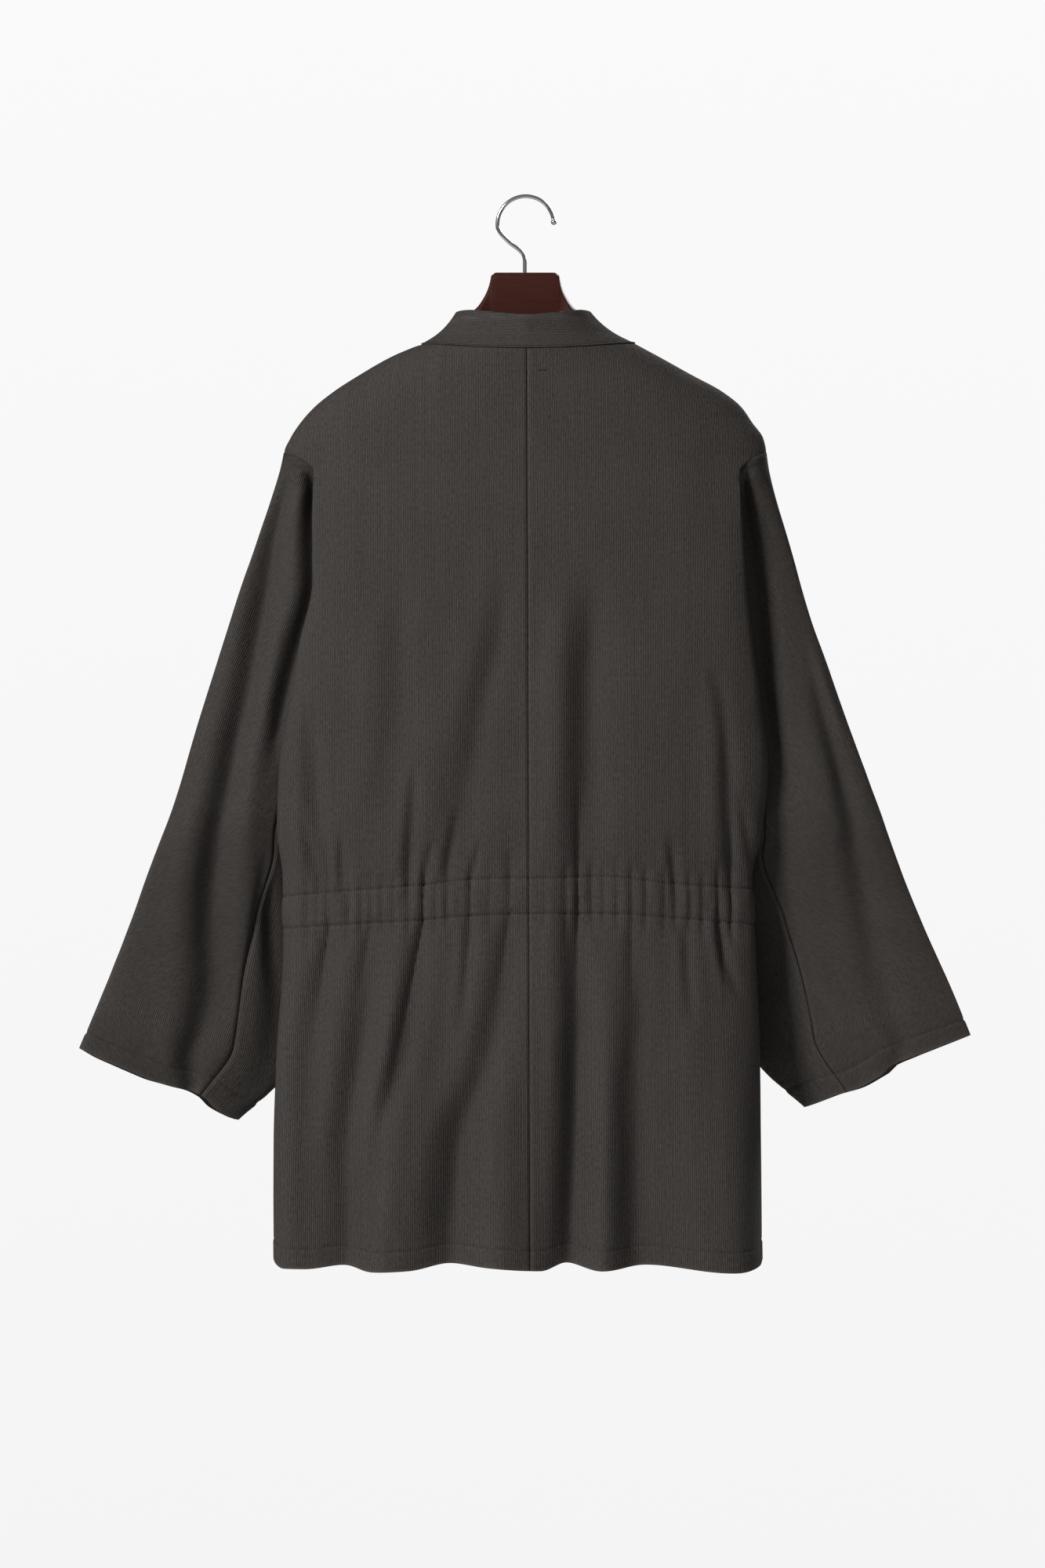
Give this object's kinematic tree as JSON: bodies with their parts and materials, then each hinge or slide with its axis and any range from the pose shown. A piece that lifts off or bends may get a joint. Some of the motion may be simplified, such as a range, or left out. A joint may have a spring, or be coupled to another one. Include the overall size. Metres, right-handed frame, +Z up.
{
  "type": "samue jacket on a wooden hanger",
  "caption": "Loose wrap-front work jacket in ribbed charcoal cotton with wide sleeves, band collar and gathered back waist, hung on a contoured wooden hanger.",
  "frame": {"origin": "top of the inside of the hanger's hook, where a rail touches it", "axes": "+Z up; -Y out of the garment's back, which the picture shows; +Y out of its crossed fronts; +X to the wearer's right"},
  "size_m": [0.818, 0.1398, 0.9817],
  "materials": {
    "cloth_body": "ribbed crepe cotton, matt",
    "cloth_sleeve": "ribbed crepe cotton, matt",
    "cloth_band": "ribbed crepe cotton, doubled, matt",
    "wood": "dark red-brown lacquer, satin gloss",
    "hook_metal": "polished plated wire"
  },
  "bodies": {
    "root": {"back_left": "cloth_body", "back_right": "cloth_body", "front_left": "cloth_body", "front_right": "cloth_body", "sleeve_left": "cloth_sleeve", "sleeve_right": "cloth_sleeve", "collar": "cloth_band", "tie_outer_left": "cloth_body", "tie_outer_right": "cloth_body", "hanger_wood": "wood", "hanger_hook": "hook_metal"}
  },
  "joints": []
}
